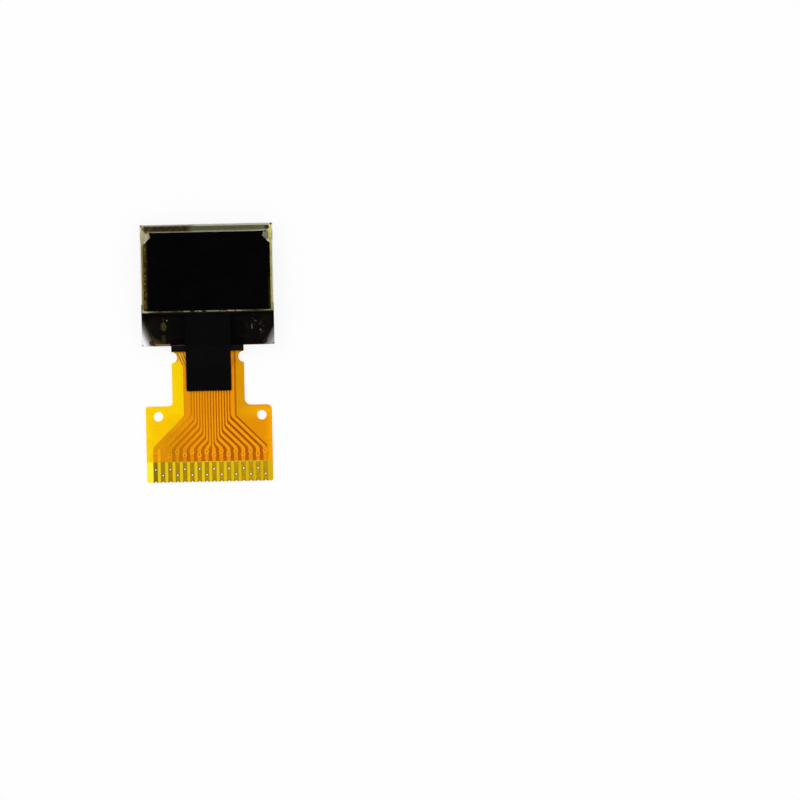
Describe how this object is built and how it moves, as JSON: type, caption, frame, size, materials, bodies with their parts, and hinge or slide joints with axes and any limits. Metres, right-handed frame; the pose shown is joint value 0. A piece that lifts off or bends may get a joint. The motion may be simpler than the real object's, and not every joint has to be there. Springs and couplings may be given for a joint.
{
  "type": "small oled display module",
  "caption": "Small glass display panel with a bent flexible solder tail that fans out to a row of plated pads.",
  "frame": {"origin": "centre of the rear glass's back face, which the panel lies on", "axes": "+Z out of the viewing face, -Y towards the tail, +X to the viewer's right"},
  "size_m": [0.012, 0.0233, 0.0012],
  "materials": {
    "panel_glass": "clear polished",
    "cap_glass": "clear polished",
    "seal": "cream cured resin",
    "desiccant": "matt white film",
    "emitting_film": "dark film",
    "cathode": "bright vapour-deposited metal",
    "polariser": "hard-coated black film",
    "clear_adhesive": "clear adhesive",
    "mark_metal": "olive metal film",
    "silicon": "polished silicon",
    "bond_film": "cured bond film",
    "black_resin": "cured black resin",
    "black_tape": "matt black tape",
    "polyimide": "amber film",
    "copper": "rolled copper under film",
    "plating": "gold plating",
    "via_plating": "gold plating",
    "cover_film": "clear amber film"
  },
  "bodies": {
    "root": {"front_glass": "panel_glass", "cap_glass": "cap_glass", "seal_frame": "seal", "desiccant_patch": "desiccant", "emitting_film": "emitting_film", "cathode_sheet": "cathode", "polariser": "polariser", "polariser_adhesive": "clear_adhesive", "alignment_marks": "mark_metal", "driver_chip": "silicon", "chip_bond_film": "bond_film", "flex_bond_film": "bond_film", "ledge_resin": "black_resin", "rear_tape": "black_tape", "shield_tape": "black_tape", "edge_filler": "black_resin", "flex_base": "polyimide", "front_traces": "copper", "contact_pads": "plating", "rear_pads": "plating", "plated_vias": "via_plating", "covered_vias": "copper", "front_cover_film": "cover_film", "rear_cover_film": "cover_film"}
  },
  "joints": []
}
